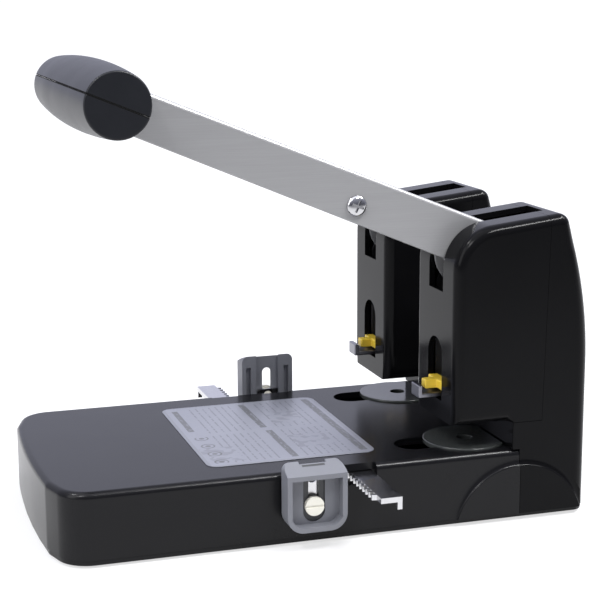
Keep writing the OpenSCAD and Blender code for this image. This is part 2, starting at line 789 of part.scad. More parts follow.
// One wire bent round a rising spiral, as rings of a few sides
spring_n = spring_turns * spring_rings;
function spring_point(i) = let (a = 360 * i / spring_rings)
    [spring_r * cos(a), spring_r * sin(a), spring_low + (spring_high - spring_low) * i / spring_n];
function spring_ring(i) = let (a = 360 * i / spring_rings)
    [for (k = [0 : spring_sides - 1]) let (b = 360 * k / spring_sides)
        spring_point(i) + spring_wire / 2 * [cos(b) * cos(a), cos(b) * sin(a), sin(b)]];
spring_path = [for (i = [0 : spring_n]) spring_point(i)];
spring_clear = min([for (i = [0 : spring_n]) for (j = [i + spring_rings / 2 : spring_n])
    norm(spring_path[i] - spring_path[j])]) - spring_wire;
echo("return spring, least gap between turns", spring_clear);

module return_spring(side) {
    m = spring_sides;
    rings = [for (i = [0 : spring_n]) each spring_ring(i)];
    walls = [for (i = [0 : spring_n - 1]) for (k = [0 : m - 1])
        let (a = i * m + k, b = i * m + (k + 1) % m)
            each [[a, a + m, b + m], [a, b + m, b]]];
    caps = [for (k = [1 : m - 2]) each [[0, k, k + 1], [spring_n * m, spring_n * m + k + 1, spring_n * m + k]]];
    color("#3c3d41") at_tower(side) translate([punch_x, 0, 0])
        polyhedron(points = rings, faces = concat(walls, caps));
}

module pin_clip(side) {
    z0 = keeper_z + keeper_t + 1.4;
    color("#d8b93a") at_tower(side) {
        translate([tower_x - clip_bar_t, -clip_bar_w / 2, z0]) cube([clip_bar_t, clip_bar_w, clip_bar_h]);
        translate([tower_x - eps, -window_w / 2 + seam, z0]) cube([clip_tongue, window_w - 2 * seam, clip_bar_h]);
    }
}

module pin_keeper(side) {
    x0 = tower_x - keeper_out;
    color(steel) at_tower(side) translate([x0, -keeper_w / 2, keeper_z]) {
        cube([punch_x - bush_r - over - seam - x0, keeper_w, keeper_t]);
        cube([keeper_t, keeper_w, keeper_lip]);
    }
}

// Side view of a lever arm, from the pivot towards the grip; drawn in from its top edge
module arm_side(m) {
    tip = arm_tip_depth / 2;
    end = lever_len + arm_end;
    polygon([[0, arm_top - m], [-end, tip - m], [-end, -tip - m], [0, -arm_low - m]]);
    intersection() {
        translate([0, -hub_drop]) circle(r = hub_r, $fn = 96);
        translate([-hub_r, -hub_r - hub_drop - over]) square([2 * hub_r, hub_r + hub_drop + over + arm_top - m]);
    }
}

module lever_arm(side) {
    color("#b4b5b9") at_tower(side) on_lever() difference() {
        upright(arm_w) arm_side(0);
        upright(cheek_gap) {
            arm_side(arm_sheet);
            translate([0, -2 * over]) arm_side(arm_sheet);
            translate([over, 0]) arm_side(arm_sheet);
        }
        rod_y(pivot_r + run_gap, arm_w + 2 * over);
        translate([-tie_at, 0, -tie_drop]) rod_y(tie_screw_r + seat_gap, arm_w + 2 * over);
        translate([-lever_len, 0, 0]) rod_y(grip_rod_r + seat_gap, arm_w + 2 * over);
    }
}

module press_bar(side) {
    color(steel) at_tower(side) translate([press_x, 0, press_z]) rod_y(press_pin_r, cheek_gap);
}

module tie_bar() {
    len = hole_spacing - arm_w - 0.2;
    color(steel) on_lever() translate([-tie_at, 0, -tie_drop]) difference() {
        rod_y(tie_r, len);
        for (s = [-1, 1])
            translate([0, s * len / 2, 0]) rod_y(tie_screw_r + seat_gap, 24);
    }
}

module tie_bar_screws() {
    depth = 8;
    y0 = tower_y + arm_w / 2;
    color(steel) on_lever() for (s = [-1, 1])
        translate([-tie_at, 0, -tie_drop]) {
            translate([0, s * (y0 + tie_head_h / 2), 0]) difference() {
                rod_y(tie_head_r, tie_head_h);
                translate([-tie_head_r, s * tie_head_h / 2 - 0.5, -0.5]) cube([2 * tie_head_r, 1, 1]);
            }
            translate([0, s * (y0 - (arm_w + depth) / 2), 0]) rod_y(tie_screw_r, arm_w + depth + eps);
        }
}

module grip_rod() {
    color(steel) on_lever() translate([-lever_len, 0, 0]) rod_y(grip_rod_r, grip_rod_len);
}

// Half of the grip's barrel, above or below the lever's middle line
module grip_shell(up) {
    half = grip_len / 2;
    steps = 12;
    side = [for (i = [-steps : steps]) let (t = i / steps)
        [grip_end_r + (grip_mid_r - grip_end_r) * (1 - t * t), t * (half - grip_round)]];
    on_lever() translate([-lever_len, 0, 0]) difference() {
        intersection() {
            rotate([90, 0, 0]) rotate_extrude()
                polygon(concat([[0, -half], [grip_end_r - grip_round, -half]], side,
                    [[grip_end_r - grip_round, half], [0, half]]));
            translate([-2 * grip_mid_r, -half - over, up ? seam / 2 : -2 * grip_mid_r - seam / 2])
                cube([4 * grip_mid_r, grip_len + 2 * over, 2 * grip_mid_r]);
        }
        rod_y(grip_rod_r + seat_gap, grip_rod_len + 0.4);
        for (s = [-1, 1])
            translate([-arm_end - slide_gap, s * tower_y - arm_w / 2 - slide_gap, -arm_depth / 2])
                cube([3 * grip_mid_r, arm_w + 2 * slide_gap, arm_depth]);
    }
}

module grip_upper_shell() { color("#23262b") grip_shell(true); }
module grip_lower_shell() { color("#23262b") grip_shell(false); }

// Teeth as a trapezium, from the root to the tip, pointing along +X
module tooth(x_root, x_tip) {
    root_half = 0.95;
    tip_half = 0.45;
    polygon([[x_root, -root_half], [x_tip, -tip_half], [x_tip, tip_half], [x_root, root_half]]);
}

// A rack and its tab, for the near side; the far one is the same part turned half round
module guide_rack(side) {
    turn = side > 0 ? 180 : 0;
    color(steel) rotate([0, 0, turn]) difference() {
        union() {
            translate([0, 0, rack_z]) linear_extrude(rack_t) {
                translate([-rack_back_x, -neck_y]) square([rack_back_x - rack_root_x, neck_y + rack_reach]);
                translate([-clip_x - tab_w / 2, -tab_y - eps])
                    square([clip_x + tab_w / 2 - rack_root_x, tab_y - neck_y + 2 * eps]);
                for (i = [teeth_first : teeth_last])
                    translate([-rack_root_x, (i + 0.5) * tooth_pitch]) tooth(-eps, rack_root_x - rack_tip_x);
            }
            translate([-rack_back_x, rack_reach - rack_t, rack_z - hook_drop])
                cube([hook_w, rack_t - eps, hook_drop + rack_t / 2]);
            translate([-clip_x - tab_w / 2, -tab_y - tab_t, tab_bottom]) cube([tab_w, tab_t, tab_top - tab_bottom]);
        }
        for (z = [tab_low, tab_high])
            translate([-clip_x, -tab_y - tab_t / 2, z]) rod_y(guide_screw_r + seat_gap, tab_t + 2 * eps);
    }
}

module guide_pinion() {
    root_r = pitch_r - tooth_h - tooth_gap;
    color("#c9c4b4") translate([0, 0, rack_z]) difference() {
        linear_extrude(rack_t) {
            circle(r = root_r);
            for (i = [0 : pinion_teeth - 1])
                rotate(360 * i / pinion_teeth) tooth(root_r - 0.3, pitch_r + tooth_h);
        }
        translate([0, 0, -over]) cylinder(r = stud_r + run_gap, h = rack_t + 2 * over);
    }
}

module pinion_stud() {
    color(steel) translate([0, 0, plate_top]) cylinder(r = stud_r, h = rack_top - plate_top + seam / 2);
}

// Guide plate under the table, with a channel for each rack
module rack_bracket() {
    color("#3a3b3f") difference() {
        translate([-bracket_w / 2, -bracket_len / 2, plate_top])
            cube([bracket_w, bracket_len, deck_z - plate_top - seam / 2]);
        for (s = [-1, 1])
            translate([s > 0 ? groove_in : -rack_back_x - rail_gap, -base_w, groove_z])
                cube([rack_back_x + rail_gap - groove_in, 2 * base_w, base_top]);
        translate([-groove_in - eps, -base_w, bracket_floor]) cube([2 * groove_in + 2 * eps, 2 * base_w, base_top]);
        translate([0, 0, plate_top - over]) cylinder(r = stud_r + seat_gap, h = base_top);
    }
}

// Outline of a side guide from outside, drawn in by a rim
module clip_outline(m) {
    half = clip_w / 2 - m;
    r = clip_corner_r - m;
    top_r = 3;
    translate([-half, r]) square([2 * half, clip_h - r - m - top_r]);
    translate([-half + r, m]) square([2 * (half - r), clip_h - 2 * m]);
    for (s = [-1, 1]) {
        translate([s * (half - r), r + m]) circle(r = r);
        translate([s * (half - top_r), clip_h - m - top_r]) circle(r = top_r);
    }
    translate([-half + top_r, clip_h / 2]) square([2 * (half - top_r), clip_h / 2 - m]);
}

// A side guide on the near side, with its lower edge at a given height
module clip_body(low) {
    inner = clip_w / 2 - clip_skin;
    chan = channel_w / 2;
    deep = panel_in - clip_back;
    roof_z = clip_h - roof_fall - clip_skin;
    translate([-clip_x, 0, low]) difference() {
        intersection() {
            translate([0, -clip_back - clip_depth / 2, 0]) upright(clip_depth) clip_outline(0);
            translate([-clip_w, 0, 0]) lengthwise(2 * clip_w)
                polygon([[-clip_back, 0], [-clip_front, 0], [-clip_front, clip_h - roof_fall], [-clip_back, clip_h]]);
        }
        intersection() {
            translate([0, -panel_out - clip_depth / 2, 0]) upright(clip_depth) clip_outline(clip_skin);
            translate([-clip_w, -clip_front - over, 0]) cube([2 * clip_w, clip_front, roof_z]);
        }
        translate([-chan, -panel_in, -over]) cube([channel_w, deep + over, clip_h + 2 * over]);
        for (s = [-1, 1])
            translate([s > 0 ? chan + rib_w : -inner, -panel_in, -over])
                cube([inner - chan - rib_w, deep + over, roof_z + over]);
        translate([0, -panel_in - clip_t / 2, 0]) upright(clip_t + 2 * eps) clip_slot(slot_half);
        translate([0, -panel_out, 0]) upright(2 * recess_deep) clip_slot(recess_half);
    }
}

module clip_slot(r) {
    translate([0, slot_low]) circle(r = r);
    translate([0, slot_high]) circle(r = r);
    translate([-r, slot_low]) square([2 * r, slot_high - slot_low]);
}

module near_side_guide() { color(grey) clip_body(clip_low); }
module far_side_guide() { color(grey) rotate([0, 0, 180]) clip_body(clip_low + clip_raise); }

module guide_screw(z) {
    y0 = panel_out - recess_deep + seam / 2;
    color("#ebe8dc") translate([-clip_x, 0, z]) {
        translate([0, -y0 - guide_head_h / 2, 0]) difference() {
            rod_y(guide_head_r, guide_head_h);
            translate([-guide_head_r, -guide_head_h / 2 - 0.5, -0.5]) cube([2 * guide_head_r, 1, 1]);
        }
        translate([0, -(y0 + tab_y + 0.1) / 2, 0]) rod_y(guide_screw_r, y0 - tab_y - 0.1 + eps);
    }
}

base_cover();
base_plate();
base_screws();
label_plate();
chip_pan();
rubber_feet();
cutting_disc(-1);  // near_cutting_disc
cutting_disc(1);  // far_cutting_disc
tower_frame(-1);  // near_tower_frame
tower_frame(1);  // far_tower_frame
tower_bolts();
head_cover(-1);  // near_head_cover
head_cover(1);  // far_head_cover
rear_cover(-1);  // near_rear_cover
rear_cover(1);  // far_rear_cover
pivot_studs();
guide_bush(-1);  // near_guide_bush
guide_bush(1);  // far_guide_bush
punch_pin(-1);  // near_punch_pin
punch_pin(1);  // far_punch_pin
ram(-1);  // near_ram
ram(1);  // far_ram
return_spring(-1);  // near_return_spring
return_spring(1);  // far_return_spring
pin_clip(-1);  // near_pin_clip
pin_clip(1);  // far_pin_clip
pin_keeper(-1);  // near_pin_keeper
pin_keeper(1);  // far_pin_keeper
lever_arm(-1);  // near_lever_arm
lever_arm(1);  // far_lever_arm
press_bar(-1);  // near_press_bar
press_bar(1);  // far_press_bar
tie_bar();
tie_bar_screws();
grip_rod();
grip_upper_shell();
grip_lower_shell();
guide_rack(-1);  // near_guide_rack
guide_rack(1);  // far_guide_rack
guide_pinion();
pinion_stud();
rack_bracket();
near_side_guide();
far_side_guide();
guide_screw(tab_low);  // near_guide_screw
rotate([0, 0, 180]) guide_screw(tab_high);  // far_guide_screw
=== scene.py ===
import math
import bmesh
import bpy
from mathutils import Matrix, Vector


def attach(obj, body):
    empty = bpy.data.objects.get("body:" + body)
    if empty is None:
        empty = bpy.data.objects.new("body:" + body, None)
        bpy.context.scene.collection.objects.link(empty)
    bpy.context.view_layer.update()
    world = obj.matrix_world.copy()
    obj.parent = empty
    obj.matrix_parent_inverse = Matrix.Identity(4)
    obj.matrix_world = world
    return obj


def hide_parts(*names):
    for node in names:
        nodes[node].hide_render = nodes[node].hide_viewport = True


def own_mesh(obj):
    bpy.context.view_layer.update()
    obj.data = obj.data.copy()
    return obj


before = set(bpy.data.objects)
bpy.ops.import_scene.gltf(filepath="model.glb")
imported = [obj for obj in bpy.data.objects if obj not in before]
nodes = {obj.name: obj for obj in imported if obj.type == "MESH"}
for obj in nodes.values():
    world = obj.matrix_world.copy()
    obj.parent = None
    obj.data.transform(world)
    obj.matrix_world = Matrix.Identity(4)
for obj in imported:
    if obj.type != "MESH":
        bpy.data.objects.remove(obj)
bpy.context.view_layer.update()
bothSides = ((-1, "near"), (1, "far"))  # the near side faces the camera and has y below zero
print("frame loaded,", len(nodes), "CAD nodes")


class Wire:  # a shader socket that does maths: each operator adds one Math node
    def __init__(self, tree, socket):
        self.tree = tree
        self.socket = socket

    def mathNode(self, operation, first, second):
        step = self.tree.nodes.new("ShaderNodeMath")
        step.operation = operation
        for slot, value in zip(step.inputs, (first, second)):
            plugIn(self.tree, slot, value)
        return Wire(self.tree, step.outputs[0])

    def __add__(self, other): return self.mathNode("ADD", self, other)
    def __radd__(self, other): return self.mathNode("ADD", other, self)
    def __sub__(self, other): return self.mathNode("SUBTRACT", self, other)
    def __rsub__(self, other): return self.mathNode("SUBTRACT", other, self)
    def __mul__(self, other): return self.mathNode("MULTIPLY", self, other)
    def __rmul__(self, other): return self.mathNode("MULTIPLY", other, self)
    def __pow__(self, other): return self.mathNode("POWER", self, other)
    def __rpow__(self, other): return self.mathNode("POWER", other, self)
    def __mod__(self, other): return self.mathNode("MODULO", self, other)
    def __rmod__(self, other): return self.mathNode("MODULO", other, self)
    def __gt__(self, other): return self.mathNode("GREATER_THAN", self, other)
    def __lt__(self, other): return self.mathNode("LESS_THAN", self, other)
    def __abs__(self): return self.mathNode("ABSOLUTE", self, 0.0)
    def larger(self, other): return self.mathNode("MAXIMUM", self, other)
    def smaller(self, other): return self.mathNode("MINIMUM", self, other)


def plugIn(tree, socket, value):
    if isinstance(value, Wire):
        tree.links.new(value.socket, socket)
    else:
        socket.default_value = value


class NodeBoard:  # a node tree and the one method that puts nodes on it
    def __init__(self, tree):
        self.tree = tree

    def add(self, kind, settings, inputs, output=0):
        node = self.tree.nodes.new(kind)
        for key, value in settings.items():
            setattr(node, key, value)
        for key, value in inputs.items():
            plugIn(self.tree, node.inputs[key], value)
        return Wire(self.tree, node.outputs[output])

    def axes(self, place):
        split = self.add("ShaderNodeSeparateXYZ", {}, {"Vector": place}).socket.node
        return [Wire(self.tree, end) for end in split.outputs]


class Finish(NodeBoard):  # one material
    def __init__(self, name):
        self.material = bpy.data.materials.new(name)
        self.material.use_nodes = True
        super().__init__(self.material.node_tree)
        self.shader = self.tree.nodes["Principled BSDF"]
        self.place = self.add("ShaderNodeTexCoord", {}, {}, "Object")

    def surface(self, **sockets):
        for key, value in sockets.items():
            plugIn(self.tree, self.shader.inputs[key.replace("_", " ")], value)

    def present(self, name):  # what feeds a socket already
        return Wire(self.tree, self.shader.inputs[name].links[0].from_socket)

    def noise(self, scale, detail=4.0, rough=0.55, place=None):
        return self.add("ShaderNodeTexNoise", {}, {"Vector": place or self.place, "Scale": scale,
                                                   "Detail": detail, "Roughness": rough})

    def stretched(self, turn, size):
        return self.add("ShaderNodeMapping", {}, {"Vector": self.place, "Rotation": turn, "Scale": size})

    def bump(self, height, strength, distance):
        self.surface(Normal=self.add("ShaderNodeBump", {}, {"Height": height, "Strength": strength,
                                                           "Distance": distance}))

    def blend(self, factor, first, second):
        return self.add("ShaderNodeMix", {"data_type": "RGBA"}, {0: factor, 6: first, 7: second}, 2)


def grey(level, tint=(1.0, 1.0, 1.0)):
    return (level * tint[0], level * tint[1], level * tint[2], 1.0)


# moulded plastics: two tones, roughness and its spread, grain scale, mirror strength
coolBlack, deepBlack, slate = (1, 1, 1.15), (1, 1, 1.12), (0.85, 0.95, 1.25)
clipGrey, discTint = (0.95, 0.98, 1.1), (0.96, 1.04, 1)
plastics = {
    "blackCover": {"tone": grey(0.004, coolBlack), "lift": grey(0.007, coolBlack), "rough": 0.22,
                   "spread": 0.08, "grain": 2600.0, "shine": 0.19},
    "towerBlack": {"tone": grey(0.003, deepBlack), "lift": grey(0.0045, deepBlack), "rough": 0.13,
                   "spread": 0.05, "grain": 2600.0, "shine": 0.085},
    "gripSatin": {"tone": grey(0.007, slate), "lift": grey(0.011, slate), "rough": 0.36,
                  "spread": 0.12, "grain": 2200.0, "shine": 0.3},
    "greyClip": {"tone": grey(0.155, clipGrey), "lift": grey(0.18, clipGrey), "rough": 0.42,
                 "spread": 0.1, "grain": 2400.0},
    "discGrey": {"tone": grey(0.045, discTint), "lift": grey(0.055, discTint), "rough": 0.1,
                 "spread": 0.04, "grain": 2400.0},
    "creamScrew": {"tone": (0.78, 0.76, 0.66, 1), "lift": (0.84, 0.82, 0.73, 1), "rough": 0.38,
                   "spread": 0.1, "grain": 1800.0},
    "yellowClip": {"tone": (0.72, 0.5, 0.035, 1), "lift": (0.8, 0.58, 0.06, 1), "rough": 0.34,
                   "spread": 0.1, "grain": 1800.0},
    "footRubber": {"tone": grey(0.012), "lift": grey(0.022), "rough": 0.75, "spread": 0.1, "grain": 1600.0},
}
moulding = {"patchScale": 38.0, "sparkRough": 0.04, "sparkBump": 0.12, "sparkDepth": 0.00008}

# metals: tone and tint, roughness, grain along x, y and z, tilt of the grain in degrees
coolMetal = (1, 1, 1.02)
metals = {
    "leverSilver": {"tone": 0.345, "tint": (1, 1, 1.01), "rough": 0.34, "grain": (40, 2200, 2200),
                    "tilt": -22.3, "metallic": 0.35},
    "screwSteel": {"tone": 0.55, "tint": coolMetal, "rough": 0.14, "grain": (500, 40, 500), "relief": 0.01},
    "keeperSteel": {"tone": 0.26, "tint": (0.97, 0.97, 1.08), "rough": 0.3, "grain": (900, 60, 900),
                    "relief": 0.02},
    "rackSteel": {"tone": 0.6, "tint": coolMetal, "rough": 0.2, "grain": (300, 20, 300), "relief": 0.004},
    "brightSteel": {"tone": 0.54, "tint": coolMetal, "rough": 0.26, "grain": (900, 60, 900)},
    "darkSteel": {"tone": 0.14, "tint": (1, 1, 1.03), "rough": 0.4, "grain": (900, 900, 80)},
    "springWire": {"tone": 0.32, "tint": coolMetal, "rough": 0.32, "grain": (1500, 1500, 700)},
    "bushBrass": {"tone": 0.6, "tint": (1, 0.78, 0.36), "rough": 0.3, "grain": (200, 200, 1800)},
}
scratches = {"dark": 0.86, "light": 1.1, "stainScale": 60.0, "lineRough": 0.16, "stainRough": 0.1,
             "depth": 0.00004}


def mouldedPlastic(name, tone, lift, rough, spread, grain, shine=0.5):
    skin = Finish(name)
    patches = skin.noise(moulding["patchScale"], detail=5.0)  # slow patches of wear in the gloss
    sparks = skin.noise(grain, detail=2.0, rough=0.6)  # fine spark grain of the mould
    skin.surface(Base_Color=skin.blend(patches, tone, lift), Specular_IOR_Level=shine,
                 Roughness=rough + spread * (patches - 0.5) + moulding["sparkRough"] * sparks)
    skin.bump(sparks, moulding["sparkBump"], moulding["sparkDepth"])
    return skin


def barMetal(name, tone, tint, rough, grain, tilt=0.0, metallic=1.0, relief=0.05):
    metal = Finish(name)
    along = metal.stretched((0, math.radians(tilt), 0), grain)
    lines = metal.noise(1.0, detail=6.0, rough=0.7, place=along)  # drawing marks
    stains = metal.noise(scratches["stainScale"], detail=4.0)
    dark, light = (grey(tone * scratches[k], tint) for k in ("dark", "light"))
    drawn, stained = scratches["lineRough"] * (lines - 0.5), scratches["stainRough"] * (stains - 0.5)
    metal.surface(Base_Color=metal.blend(lines, dark, light), Metallic=metallic,
                  Roughness=rough + drawn + stained)
    metal.bump(lines, relief, scratches["depth"])
    return metal


finishes = {name: mouldedPlastic(name, **values) for name, values in plastics.items()}
finishes.update({name: barMetal(name, **values) for name, values in metals.items()})

# painted shade on the floor of the sunk track round each guide screw, in metres from the middle of the
# punch
clipTrack = {"middle": 0.0095, "half": 0.0048, "from": 0.0656, "to": 0.0667,
             "shade": 0.82, "tone": grey(0.02)}


def shadeTrack(skin):
    x, y, _ = skin.axes(skin.place)
    out = abs(y)
    track = (abs(abs(x) - clipTrack["middle"]) < clipTrack["half"]) * (out > clipTrack["from"])
    track = track * (out < clipTrack["to"]) * clipTrack["shade"]
    # painted shade: the floor of the sunk track is drawn dark
    skin.surface(Base_Color=skin.blend(track, skin.present("Base Color"), clipTrack["tone"]))


shadeTrack(finishes["greyClip"])

# marks on the label, in metres on the table: boxes are x from, x to, y from, y to
label = {
    "left": -0.0475, "right": 0.0255, "half": 0.0455, "rim": 0.0016, "inner": 0.0019,
    "ink": grey(0.06), "film": grey(0.27, (0.93, 0.96, 1.1)), "rowPitch": 0.0031, "row": (0.0007, 0.0014),
    "panels": [(-0.0365, -0.0145, -0.042, 0.042), (-0.0055, 0.0165, -0.042, 0.042)],
    "blanks": [(-0.0035, 0.0105, 0.008, 0.026), (-0.0035, 0.0125, -0.030, -0.012),
               (-0.046, -0.030, -0.040, -0.020)],
    "bars": [(0.0192, 0.0226, -0.042, 0.042), (-0.0115, -0.0085, 0.003, 0.042),
             (-0.0108, -0.0078, -0.042, -0.002), (-0.0435, -0.0408, 0.006, 0.040)],
    "gutter": (-0.0025, 0.0015), "ringX": -0.0405, "ringPitch": 0.0115, "ring": (0.0024, 0.0031),
    "dot": 0.0012, "ringRun": (-0.0415, -0.0035), "wordSize": (320, 520, 1), "wordLevel": 0.44,
    "gapSize": (900, 260, 1), "gapLevel": 0.6, "blotScale": 230.0, "blotLevel": 0.53,
    "metallic": 0.35, "inkMatt": 0.3, "rough": 0.36, "foilScale": 700.0, "foilRough": 0.1,
    "foilBump": 0.05, "foilDepth": 0.00003,
}
inkShare = {"text": 0.5, "bar": 0.8, "barGap": 0.4, "blot": 0.3, "ring": 0.75, "rim": 0.22, "most": 0.9}


def labelFilm():  # printed silver film: a frame, headings, broken rules and a line of rings, all generic
    film = Finish("labelFilm")
    x, y, _ = film.axes(film.place)

    def inside(value, low, high):
        return (value > low) * (value < high)

    def patch(x0, x1, y0, y1):
        return inside(x, x0, x1) * inside(y, y0, y1)

    def patches(boxes):
        total = patch(*boxes[0])
        for box in boxes[1:]:
            total = total + patch(*box)
        return total

    def sheet(rim):
        return patch(label["left"] + rim, label["right"] - rim, rim - label["half"], label["half"] - rim)

    def streaks(size, detail):  # breaks the lines up
        return film.noise(1.0, detail, rough=0.5, place=film.stretched((0, 0, 0), size))

    rows = inside((x + 1.0) % label["rowPitch"], *label["row"])  # 1 is added to keep the remainder positive
    words = streaks(label["wordSize"], detail=2.0) > label["wordLevel"]
    gaps = streaks(label["gapSize"], detail=1.0) > label["gapLevel"]
    blots = film.noise(label["blotScale"], detail=1.0) > label["blotLevel"]
    blanks, bars = patches(label["blanks"]), patches(label["bars"])
    text = rows * words * patches(label["panels"]) * (1 - blanks) * (1 - inside(y, *label["gutter"]))
    ringX = abs(x - label["ringX"])
    ringY = abs((y + 1.0) % label["ringPitch"] - label["ringPitch"] / 2)
    ringR = (ringX * ringX + ringY * ringY) ** 0.5
    rings = (inside(ringR, *label["ring"]) + (ringR < label["dot"])) * inside(y, *label["ringRun"])
    marks = text * inkShare["text"] + bars * (inkShare["bar"] - inkShare["barGap"] * gaps)
    marks = marks + blanks * blots * inkShare["blot"] * sheet(label["inner"]) + rings * inkShare["ring"]
    ink = (marks + (1 - sheet(label["rim"])) * inkShare["rim"]).smaller(inkShare["most"])
    foil = film.noise(label["foilScale"], detail=3.0)
    film.surface(Base_Color=film.blend(ink, label["film"], label["ink"]),
                 Metallic=label["metallic"] - label["inkMatt"] * ink,
                 Roughness=label["rough"] + label["foilRough"] * (foil - 0.5))
    film.bump(foil, label["foilBump"], label["foilDepth"])
    return film


finishes["labelFilm"] = labelFilm()
print("finishes made:", len(finishes))

# the finish of each carried-over CAD node, the width of its softened edges (mm) and their steps
singleNodes = {
    "chip_pan": ("blackCover", 0.5, 2), "rubber_feet": ("footRubber", 0.4, 2),
    "label_plate": ("labelFilm", 0.05, 1),
    "guide_pinion": ("brightSteel", 0.2, 2), "pinion_stud": ("brightSteel", 0.3, 2),
    "tie_bar": ("brightSteel", 0.3, 2), "grip_rod": ("brightSteel", 0.4, 2),
    "pivot_studs": ("brightSteel", 0.4, 2), "tower_bolts": ("brightSteel", 0.3, 2),
    "base_screws": ("brightSteel", 0.3, 2),
    "base_plate": ("darkSteel", 0.3, 2), "rack_bracket": ("darkSteel", 0.3, 2),
}
pairedNodes = {
    "side_guide": ("greyClip", 0.5, 3), "guide_screw": ("creamScrew", 0.4, 3),
    "guide_rack": ("rackSteel", 0.2, 2), "cutting_disc": ("discGrey", 0.4, 2),
    "pin_clip": ("yellowClip", 0.5, 3), "pin_keeper": ("keeperSteel", 0.5, 3),
    "press_bar": ("brightSteel", 0.3, 2), "punch_pin": ("brightSteel", 0.1, 2),
    "guide_bush": ("bushBrass", 0.3, 2), "tower_frame": ("darkSteel", 0.3, 2), "ram": ("darkSteel", 0.3, 2),
}
edges = {"weld": 2e-6, "flat": 1.2, "sharp": 38}  # metres, degrees, degrees


def wear(name, finish, width, steps):
    part = nodes[name]
    part.data.materials.clear()
    part.data.materials.append(finishes[finish].material)
    weld = part.modifiers.new("weld", "WELD")
    weld.merge_threshold = edges["weld"]
    flatten = part.modifiers.new("flatten", "DECIMATE")
    flatten.decimate_type = "DISSOLVE"
    flatten.angle_limit = math.radians(edges["flat"])
    edge = part.modifiers.new("edge", "BEVEL")
    edge.width = width / 1000
    edge.segments = steps
    edge.limit_method = "ANGLE"
    edge.angle_limit = math.radians(edges["sharp"])
    edge.use_clamp_overlap = True
    edge.harden_normals = True
    even = part.modifiers.new("even", "WEIGHTED_NORMAL")
    even.keep_sharp = True


for name, look in singleNodes.items():
    wear(name, *look)
for name, look in pairedNodes.items():
    for _, word in bothSides:
        wear(word + "_" + name, *look)
print("nodes dressed")


# from here to the springs every size is in millimetres, and loft turns it into metres
def insetLoop(points, amounts):  # moves each corner of a closed anticlockwise outline inwards, mitred
    loop = []
    for k, here in enumerate(points):
        before, after = points[k - 1], points[(k + 1) % len(points)]
        first = Vector((here[0] - before[0], here[1] - before[1])).normalized()
        second = Vector((after[0] - here[0], after[1] - here[1])).normalized()
        share = amounts[k] / (1 + first.dot(second))
        loop.append((here[0] - (first.y + second.y) * share, here[1] + (first.x + second.x) * share))
    return loop


def arc(cx, cz, radius, start, end, steps):
    turns = [math.radians(start + (end - start) * k / steps) for k in range(steps + 1)]
    return [(cx + radius * math.cos(t), cz + radius * math.sin(t)) for t in turns]


def disc(cx, cz, radius, steps):
    return arc(cx, cz, radius, 0, 360 - 360 / steps, steps - 1)


def loft(name, rings):  # skins a stack of equal rings and caps both ends
    shape = bmesh.new()
    stack = [[shape.verts.new(Vector(point) / 1000) for point in ring] for ring in rings]
    for lower, upper in zip(stack, stack[1:]):
        for k in range(len(lower)):
            n = (k + 1) % len(lower)
            shape.faces.new((lower[k], lower[n], upper[n], upper[k]))
    shape.faces.new(stack[0][::-1])
    shape.faces.new(stack[-1])
    bmesh.ops.recalc_face_normals(shape, faces=shape.faces)
    data = bpy.data.meshes.new(name)
    shape.to_mesh(data)
    shape.free()
    piece = bpy.data.objects.new(name, data)
    bpy.context.collection.objects.link(piece)
    return piece


def block(x0, x1, y0, y1, z0, z1):
    return loft("cutBlock", [[(x0, y0, z), (x1, y0, z), (x1, y1, z), (x0, y1, z)] for z in (z0, z1)])


def drum(x, y, radius, z0, z1):
    return loft("cutDrum", [[(px, py, z) for px, py in disc(x, y, radius, steps=64)] for z in (z0, z1)])


def carve(piece, tools, operation="DIFFERENCE"):
    for tool in tools:
        cut = piece.modifiers.new("cut", "BOOLEAN")
        cut.operation = operation
        cut.solver = "EXACT"
        cut.object = tool
        view = bpy.context.evaluated_depsgraph_get()
        data = bpy.data.meshes.new_from_object(piece.evaluated_get(view))
        piece.modifiers.clear()
        old = piece.data
        piece.data = data
        bpy.data.meshes.remove(old)
    for tool in tools:
        bpy.data.objects.remove(tool)


def clone(piece, name, dy=0.0):
    twin = bpy.data.objects.new(name, piece.data.copy())
    twin.data.transform(Matrix.Translation((0, dy / 1000, 0)))
    bpy.context.collection.objects.link(twin)
    return twin


def slab(spots, half, steps):  # rings of an upright slab whose two faces round over into its outline
    points, radii = [p for p, _ in spots], [r for _, r in spots]
    near = []
    for k in range(steps + 1):
        turn = math.pi / 2 * k / steps
        loop = insetLoop(points, [r * (1 - math.sin(turn)) for r in radii])
        near.append([(x, -half + r * (1 - math.cos(turn)), z) for (x, z), r in zip(loop, radii)])
    return near + [[(x, -y, z) for x, y, z in ring] for ring in reversed(near)]


def settle(piece, body, node, finish, smooth=30):
    piece.data.materials.clear()
    piece.data.materials.append(finishes[finish].material)
    for face in piece.data.polygons:
        face.use_smooth = True
    piece.data.set_sharp_from_angle(angle=math.radians(smooth))
    even = piece.modifiers.new("even", "WEIGHTED_NORMAL")
    even.keep_sharp = True
    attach(piece, body)
    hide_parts(node)


